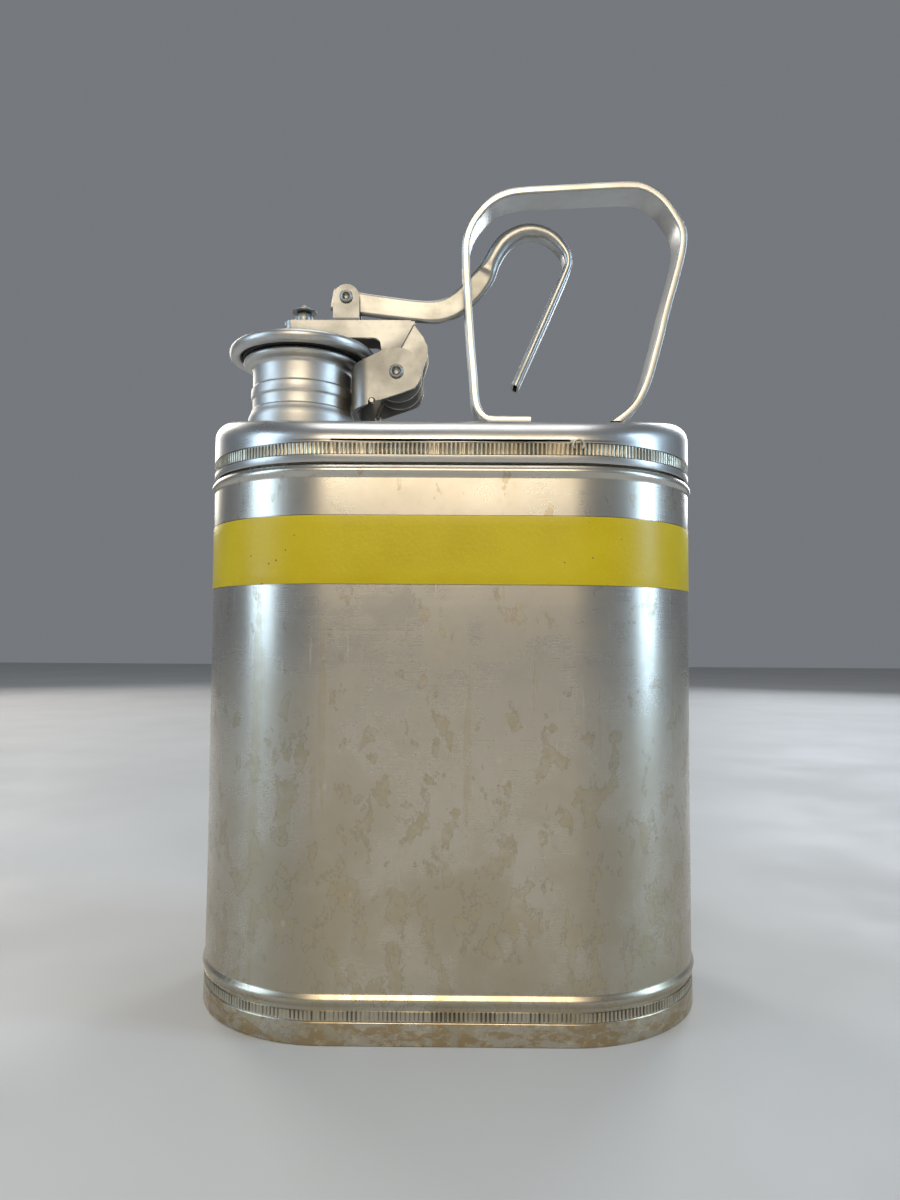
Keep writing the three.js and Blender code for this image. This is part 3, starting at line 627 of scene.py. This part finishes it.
def lid_shape(cx, nx, ny, r, z):
    if z < FOLD:
        return 0.0, 0.0
    y = ny * r
    dent = 0.25 * noise.noise(Vector(((cx + nx * r) * 0.03, y * 0.03, 5.0)))
    return 0.0, roof(y) - Z_RIDGE + dent * min(1, (z - FOLD) / 8)


outer, inner = lid_profile(0), lid_profile(1.2)
lid = oval_piece("lid_cover", (
    list(reversed(inner)) + [(R_WALL - 1.0, 217.5), (R_WALL - 1.0, 211.3), (56.3, 210.85),
                             (56.75, 210.95), (56.95, 211.3), (56.95, 213.6), (56.5, 213.75),
                             (56.5, 218.35), (56.95, 218.5), (56.95, 219.6)]
    + outer), lid_shape)
drill = lathe("drill", [(21.75, 215.0), (21.75, 245.0)], (NECK_X, 0), 96)
carved(lid, drill)
finish_piece(lid, LID, "can", ["top_lid"], smooth=40)

# the loop where the top weld starts, laid on the rounded wall
MARK_R, MARK_X, MARK_Z = 57.05, 47.4, 217.6
loop = [(MARK_X + 1.9 * math.cos(a * math.pi / 12), MARK_Z + 2.0 * math.sin(a * math.pi / 12))
        for a in range(-3, 16)]
mark = tube("weld_start_mark", [
    (x, -math.sqrt(MARK_R ** 2 - (x - SPREAD) ** 2) if x > SPREAD else -MARK_R, z)
    for x, z in loop], 0.42, 10)
finish_piece(mark, WELD, "can")

# ------------------------------------------------------------------ neck, basket
neck_profile = rounded([
    (20.2, 240.0), (20.2, 225.0), (21.3, 225.0), (21.3, 233.0), (23.3, 233.0), (23.3, 239.4),
    (22.9, 240.9), (22.2, 242.5), (21.9, 243.7), (21.3, 244.1), (21.3, 248.5), (21.9, 249.2),
    (22.05, 251.2), (21.9, 253.2), (21.3, 253.9), (21.3, 261.6), (22.2, 262.9), (24.7, 263.4),
    (25.5, 264.3), (25.5, 265.6), (24.6, 266.45), (23.4, 266.5), (21.6, 266.5), (20.4, 265.6),
    (20.2, 264.4), (20.2, 240.0)], 0.55, 4)


def neck_lift(y, h):
    """The lower edge of the neck's outside follows the lid's curved top."""
    return h if h > 236.5 or h < 230 else roof(y) - 0.25 + (h - 233.0)


neck = lathe("neck_spout", neck_profile, (NECK_X, 0), 128, lift=neck_lift)
finish_piece(neck, NECK, "can", ["neck"], smooth=50)

basket = refined("flame_arrester", "arrester_basket", 0.12, 2)
finish_piece(basket, DULL, "can", ["flame_arrester"])

# ------------------------------------------------------------------ cap and stud
cap_profile = rounded([
    (3.3, 275.5), (6.0, 275.5), (9.5, 274.7), (14.0, 272.7), (19.0, 271.4), (24.6, 270.9),
    (26.2, 270.9)], 1.5, 5) + [
    (29.1 + 2.6 * math.cos(math.radians(a)),
     269.0 + 2.7 * math.sin(math.radians(a))) for a in range(132, -139, -15)] + rounded([
         (26.5, 268.0), (26.4, 269.6), (18.6, 270.2), (13.4, 271.4), (9.0, 273.4),
         (5.8, 274.2), (3.3, 274.2), (3.3, 275.5)], 0.6, 3)
cap = lathe("cap_cover", cap_profile, (CAP_X, 0), 144)
finish_piece(cap, CAP, "cap", ["pouring_cap"], smooth=45)

gasket = lathe("cap_seal", rounded([
    (20, 266.9), (25.6, 266.9), (26.1, 267.4), (26.1, 268.9), (25.7, 269.35), (17.2, 269.9),
    (17.2, 266.9), (20, 266.9)], 0.4, 3), (CAP_X, 0), 96)
finish_piece(gasket, RUBBER, "cap", ["cap_gasket"])

keeper = lathe("seal_keeper", rounded([
    (3.2, 264.9), (14.0, 264.9), (16.2, 266.2), (18.6, 266.2), (18.6, 266.6), (16.9, 266.6),
    (14.0, 266.2), (3.2, 266.2), (3.2, 264.9)], 0.3, 3), (CAP_X, 0), 72)
finish_piece(keeper, DULL, "cap", ["gasket_retainer"])

spacer = lathe("cap_spacer", rounded([
    (3.2, 278), (3.2, 275.9), (5.4, 275.9), (5.4, 281.9), (3.2, 281.9), (3.2, 278)],
    0.35, 3), (CAP_X, 0), 48)
finish_piece(spacer, DULL, "cap", ["stud_spacer"])

stud = lathe("cap_stud_turned", rounded([
    (0.0, 263.4), (5.4, 263.4), (5.4, 264.5), (2.9, 264.6), (2.9, 284.1), (3.9, 284.1),
    (3.9, 286.9), (3.3, 289.0), (1.9, 289.2), (1.9, 292.2), (1.5, 292.9), (0.0, 293.2)],
    0.3, 3), (CAP_X, 0), 48)
finish_piece(stud, HINGE, "arm", ["cap_stud"])
washer = lathe("stud_disc", rounded([
    (2.2, 290.0), (2.2, 289.5), (5.3, 289.5), (5.75, 289.95), (5.3, 290.4), (2.2, 290.4),
    (2.2, 290.0)], 0.3, 3), (CAP_X, 0), 64)
finish_piece(washer, HINGE, "arm", ["stud_washer"])
clip = lathe("stud_clip", rounded([
    (2.2, 291.2), (2.2, 290.7), (3.65, 290.7), (3.65, 291.4), (3.0, 291.9), (2.2, 291.9),
    (2.2, 291.2)], 0.25, 3), (CAP_X, 0), 48)
finish_piece(clip, HINGE, "arm", ["stud_keeper"])

# ------------------------------------------------------------------ arm, bracket, clevis
arm = refined("cap_arm", "arm_channel", 0.28, 3, fold=(
    lambda c: c.z > 283.75 and 7.5 < abs(c.y) < 7.7 and c.x > -69.0, 1.7))
finish_piece(arm, HINGE, "arm", ["cap_arm"])
bracket = refined("hinge_bracket", "bracket_folded", 0.3, 3)
finish_piece(bracket, HINGE, "can", ["hinge_bracket"])
clevis = refined("trigger_clevis", "clevis_folded", 0.22, 3)
finish_piece(clevis, HINGE, "arm", ["trigger_clevis"])


def rivet(name, centre, half, head, shank, dimple, material, body, replaced):
    """A tubular rivet: rolled rims round a deep dimple at both ends."""
    side = [(0.0, half - 1.0), (dimple * 0.55, half - 0.95), (dimple * 0.9, half - 0.55),
            (dimple + 0.12, half + 0.35), (dimple + 0.5, half + 0.62), (head - 0.35, half + 0.4),
            (head, half - 0.1), (head - 0.15, half - 0.5), (shank, half - 0.55)]
    profile = [(r, -h) for r, h in side] + [(r, h) for r, h in reversed(side)]
    piece = lathe(name, rounded(profile, 0.3, 4), centre, 56, along="Y")
    return finish_piece(piece, material, body, replaced, smooth=50)


rivet("pin_rivet", PIN, 16.2, 3.05, 2.2, 1.75, HINGE, "can", ["hinge_pin"])
rivet("lever_rivet", PIVOT, 4.75, 2.9, 1.9, 1.5, HINGE, "arm", ["trigger_rivet"])

sleeve = lathe("pin_bush", rounded([
    (2.5, 0), (2.5, -4.6), (3.7, -4.6), (3.7, 4.6), (2.5, 4.6), (2.5, 0)], 0.3, 3),
    PIN, 48, along="Y")
finish_piece(sleeve, DULL, "can", ["pin_sleeve"])
foot = lathe("clevis_foot_rivet", rounded([
    (0, 280.9), (2.8, 281.0), (3.4, 281.7), (3.2, 282.0), (2.0, 282.0), (2.0, 285.6),
    (2.5, 285.6), (2.4, 286.3), (0, 286.9)], 0.4, 3), (PIVOT[0], 0), 40)
finish_piece(foot, HINGE, "arm", ["clevis_rivet"])


# ------------------------------------------------------------------ springs
WIRE_R, BEND, COIL_R, TURNS = 0.9, 1.5, 6.9, 2.42
ARM_FACE, EAR_FACE, EAR_SHEET, CLEAR = 6.4, 15.5, 1.5, 0.3
TANG = (6.9, 4.2)
NOTCH = (-33.6, 245.9)


def spring(side, name, node):
    """A closing spring: a tang through the arm's wall, the coils, and an end hooked on the ear."""
    inside, outside = ARM_FACE + CLEAR + WIRE_R, EAR_FACE - EAR_SHEET - CLEAR - WIRE_R
    reach, start = math.hypot(*TANG), math.atan2(TANG[1], TANG[0])

    def place(a, r, y):
        return (PIN[0] + r * math.cos(a), side * y, PIN[1] + r * math.sin(a))

    corner = [(BEND * math.sin(t * math.pi / 8), BEND * (1 - math.cos(t * math.pi / 8)))
              for t in range(5)]
    points = [place(start, reach, inside - BEND - 1.0)]
    points += [place(start + aside / reach, reach, inside - BEND + along)
               for along, aside in corner]
    for i in range(2, 41):
        t = i / 40
        shrink = (reach - COIL_R) * max(0.0, 1 - t * 6) ** 2
        points.append(place(start + TURNS * 2 * math.pi * t, COIL_R + shrink,
                            inside + (outside - inside) * t))
    points += [(-31.3, side * outside, 253.2), (-32.9, side * outside, 250.0)]
    points += [(NOTCH[0], side * (outside + aside), NOTCH[1] + BEND - along)
               for along, aside in corner]
    points.append((NOTCH[0], side * 17.0, NOTCH[1]))
    piece = tube(name, centripetal(points, 5), WIRE_R - 0.02, 16)
    finish_piece(piece, SPRING, None, [node])
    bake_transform(piece)


spring(-1, "coil_front", "spring_front")
spring(1, "coil_rear", "spring_rear")

# ------------------------------------------------------------------ trigger lever
LEVER_LINE = [
    (-53.0, 295.9, 10.2, 3.2), (-46.5, 294.8, 10.4, 3.2), (-36.0, 293.2, 10.3, 3.2),
    (-27.0, 292.0, 10.2, 3.3), (-17.0, 290.8, 10.1, 3.4), (-8.8, 290.3, 10.4, 3.5),
    (-3.0, 291.3, 10.6, 3.6), (2.0, 293.8, 10.5, 3.8), (6.6, 297.6, 10.5, 4.0),
    (11.0, 302.5, 10.3, 4.4), (14.6, 307.3, 9.4, 5.6), (17.1, 312.4, 7.8, 7.6),
    (19.8, 317.4, 7.6, 8.0), (23.0, 321.7, 7.7, 8.0), (26.6, 324.4, 7.4, 8.2),
    (30.6, 326.1, 7.0, 8.6), (34.6, 326.6, 6.6, 9.0), (38.6, 326.0, 6.2, 9.2),
    (42.6, 324.3, 5.6, 9.6), (46.0, 321.6, 5.1, 9.8), (48.7, 318.2, 4.4, 10.0),
    (50.5, 314.8, 3.8, 10.2), (50.9, 311.0, 3.6, 10.2), (49.5, 306.6, 3.6, 10.2),
    (45.6, 297.4, 3.8, 10.2), (40.0, 284.3, 3.8, 10.2), (33.6, 269.5, 3.6, 10.3),
    (27.8, 256.2, 3.5, 10.4),
]


def lever_rings(line, shrink, sides):
    """Sections of the lever along its line of (x, z, height, width), drawn in by shrink."""
    rings = []
    for i, (x, z, h, w) in enumerate(line):
        x0, z0 = line[max(i - 1, 0)][:2]
        x1, z1 = line[min(i + 1, len(line) - 1)][:2]
        length = math.hypot(x1 - x0, z1 - z0)
        nx, nz = -(z1 - z0) / length, (x1 - x0) / length
        hh, ww = h / 2 - shrink, w / 2 - shrink
        ring = []
        q = min(hh, ww)
        for k in range(sides):
            a = (k + 0.5) / sides * 2 * math.pi
            ca, sa = math.cos(a), math.sin(a)
            u = q * ca + math.copysign(max(ww - q, 0), ca)
            v = q * sa + math.copysign(max(hh - q, 0), sa)
            # a shallow hollow where the flat sides have sunk in
            if hh > ww + 1.5:
                u *= 1 - 0.12 * math.exp(-(v / (0.45 * hh)) ** 2)
            # the crease where the flattened part meets the round bend
            crease = math.exp(-((x - 15.2) / 0.55) ** 2) if 300 < z < 312 else 0.0
            u *= 1 + 0.13 * crease * (1 if abs(v) < hh * 0.8 else 0.3)
            ring.append((x + nx * v, u, z + nz * v))
        rings.append(ring)
    return rings


def lever_mesh():
    line = catmull(LEVER_LINE, 8)
    sides = 48
    outer_rings = lever_rings(line, 0.0, sides)
    # the open end: the last part of the bore, closed off where it cannot be seen
    inner_rings = lever_rings(line[-25:], 0.85, sides)
    verts, faces = [], []
    for ring in outer_rings + list(reversed(inner_rings)):
        verts += ring
    count = len(outer_rings) + len(inner_rings)
    for i in range(count - 1):
        for k in range(sides):
            a, b, q = i * sides, (i + 1) * sides, (k + 1) % sides
            faces.append((a + k, a + q, b + q, b + k))
    faces.append(list(range(sides))[::-1])
    faces.append([(count - 1) * sides + k for k in range(sides)])
    return made("lever_tube", verts, faces)


lever = lever_mesh()
finish_piece(lever, LEVER, "lever", ["trigger_lever"], smooth=45)

# ------------------------------------------------------------------ handle
Z_FOOT = Z_RIDGE + 0.3 + 1.65
FOOT_LINE = [(34.2, Z_FOOT), (26.0, Z_FOOT), (18.6, Z_FOOT)]
BOW_LINE = [
    (15.4, Z_FOOT + 0.6), (12.3, 243.6), (10.75, 247.0), (10.0, 252.0), (9.45, 260.0),
    (8.2, 274.0), (7.3, 287.0), (6.3, 302.0), (5.9, 312.0), (5.9, 317.6), (6.8, 322.2),
    (8.8, 327.4), (11.9, 332.0), (15.6, 336.0), (20.0, 339.0), (25.4, 341.0), (32.0, 341.9),
    (42.0, 342.5), (53.9, 343.2), (66.0, 343.9), (76.5, 344.3), (82.4, 343.9), (87.4, 341.7),
    (92.2, 337.8), (97.0, 331.2), (99.9, 325.4), (100.55, 320.4), (99.5, 312.9), (96.4, 300.9),
    (93.1, 289.1), (90.4, 278.0), (87.7, 267.8), (85.8, 261.0), (83.9, 255.6), (80.25, 248.2),
    (76.3, 243.7), (72.3, 240.5), (67.0, 236.8),
]


def strap_section(width, thick, edge):
    """Rolled strip: a rectangle with fully softened corners, as (across, through) pairs."""
    steps = 5
    out = []
    for cy, ct, start in ((1, 1, 0), (-1, 1, 90), (-1, -1, 180), (1, -1, 270)):
        for i in range(steps + 1):
            a = math.radians(start + 90 * i / steps)
            out.append((cy * (width / 2 - edge) + edge * math.cos(a),
                        ct * (thick / 2 - edge) + edge * math.sin(a)))
    return out


def strap_mesh():
    line = catmull(FOOT_LINE, 3)[:-1] + centripetal([FOOT_LINE[-1]] + BOW_LINE, 7)
    section = strap_section(16.0, 3.3, 0.75)
    verts, faces = [], []
    for i, (x, z) in enumerate(line):
        x0, z0 = line[max(i - 1, 0)]
        x1, z1 = line[min(i + 1, len(line) - 1)]
        length = math.hypot(x1 - x0, z1 - z0)
        nx, nz = -(z1 - z0) / length, (x1 - x0) / length
        verts += [(x + nx * t, y, z + nz * t) for y, t in section]
    n = len(section)
    for i in range(len(line) - 1):
        for k in range(n):
            q = (k + 1) % n
            faces.append((i * n + k, i * n + q, (i + 1) * n + q, (i + 1) * n + k))
    faces.append(list(range(n))[::-1])
    faces.append([(len(line) - 1) * n + k for k in range(n)])
    return made("strap_handle", verts, faces)


def slot_cutter(half, z0, z1, r):
    """The lever's slot: a long hole with rounded ends through the front leg."""
    ring = [(half - r + r * math.cos(math.radians(a)), z1 - r + r * math.sin(math.radians(a)))
            for a in range(0, 91, 15)]
    ring += [(-y, z) for y, z in reversed(ring)]
    ring += [(y, z0 + z1 - z) for y, z in reversed(ring)]
    verts = [(x, y, z) for x in (-2.0, 16.0) for y, z in ring]
    n = len(ring)
    faces = [tuple(range(n)), tuple(range(2 * n - 1, n - 1, -1))]
    faces += [(k, (k + 1) % n, n + (k + 1) % n, n + k) for k in range(n)]
    return made("cutter", verts, faces)


below_pad = made("below_pad", [
    (x, y, z) for x in (55, 95) for y in (-20, 20) for z in (220, 239.9)],
    [(0, 1, 3, 2), (4, 6, 7, 5), (0, 4, 5, 1), (2, 3, 7, 6), (0, 2, 6, 4), (1, 5, 7, 3)])
handle = carved(strap_mesh(), slot_cutter(4.7, 277.9, 314.1, 1.8), below_pad)
finish_piece(handle, STRAP, "can", ["carry_handle"], smooth=40)
finish_piece(refined("handle_pad", "strap_weld", 0.35, 3), WELD, "can",
             ["handle_pad"])

# ------------------------------------------------------------------ floor, light, camera
def floor_material():
    k = Look("floor_pale", 0.0)
    cloud = k.span(k.noise(3.0, 3.0), 0.35, 0.65)
    k.color(k.blend(cloud, (0.50, 0.495, 0.485), (0.54, 0.535, 0.525)))
    k.rough(k.span(k.noise(9.0), 0.3, 0.7, 0.55, 0.7))
    return k.material


floor_mesh = bpy.data.meshes.new("floor")
floor_mesh.from_pydata([(-5, -5, 0), (5, -5, 0), (5, 5, 0), (-5, 5, 0)], [], [(0, 1, 2, 3)])
floor = bpy.data.objects.new("floor", floor_mesh)
bpy.context.scene.collection.objects.link(floor)
floor_mesh.materials.append(floor_material())

world = bpy.data.worlds.new("studio")
bpy.context.scene.world = world
world.use_nodes = True
world.node_tree.nodes["Background"].inputs["Color"].default_value = (0.60, 0.64, 0.70, 1)
world.node_tree.nodes["Background"].inputs["Strength"].default_value = 0.30


def softbox(name, place, target, size, power, color):
    data = bpy.data.lights.new(name, "AREA")
    data.shape = "RECTANGLE"
    data.size, data.size_y = size
    data.energy = power
    data.color = color
    lamp = bpy.data.objects.new(name, data)
    lamp.location = place
    lamp.rotation_euler = (Vector(target) - Vector(place)).to_track_quat("-Z", "Y").to_euler()
    bpy.context.scene.collection.objects.link(lamp)


softbox("key_front", (-0.05, -2.2, 1.35), (0, 0, 0.3), (1.3, 1.3), 26, (1.0, 0.85, 0.62))
softbox("side_right", (1.9, -0.45, 0.9), (0, 0, 0.16), (0.5, 1.7), 20, (0.55, 0.77, 1.0))
softbox("side_left", (-1.8, -0.75, 0.9), (0, 0, 0.16), (0.8, 1.6), 15, (0.60, 0.80, 1.0))
softbox("back_right", (1.1, 1.9, 1.1), (0, 0, 0.2), (0.7, 1.2), 15, (0.86, 0.93, 1.0))
softbox("back_left", (-1.3, 1.7, 1.1), (0, 0, 0.2), (0.7, 1.2), 13, (1.0, 0.95, 0.88))
softbox("overhead", (0.0, 0.1, 2.4), (0, 0, 0.2), (1.2, 1.2), 12, (0.97, 0.98, 1.0))

EYE = (0.0023, -0.3616, 0.1441)
SENSOR, LENS = 36, 24.96
yaw, pitch, roll = math.radians(-0.386), math.radians(2.956), math.radians(0.373)
ahead = Vector((math.sin(yaw) * math.cos(pitch), math.cos(yaw) * math.cos(pitch), math.sin(pitch)))
right = Vector((math.cos(yaw), -math.sin(yaw), 0))
up = right.cross(ahead)
right, up = (right * math.cos(roll) + up * math.sin(roll),
             up * math.cos(roll) - right * math.sin(roll))
camera_data = bpy.data.cameras.new("photo_view")
camera_data.sensor_width = SENSOR
camera_data.lens = LENS
camera = bpy.data.objects.new("photo_view", camera_data)
camera.matrix_world = Matrix((
    (right.x, up.x, -ahead.x, EYE[0]), (right.y, up.y, -ahead.y, EYE[1]),
    (right.z, up.z, -ahead.z, EYE[2]), (0, 0, 0, 1)))
camera_data.clip_start = 0.01
bpy.context.scene.collection.objects.link(camera)
bpy.context.scene.camera = camera
bpy.context.scene.view_settings.view_transform = "Standard"
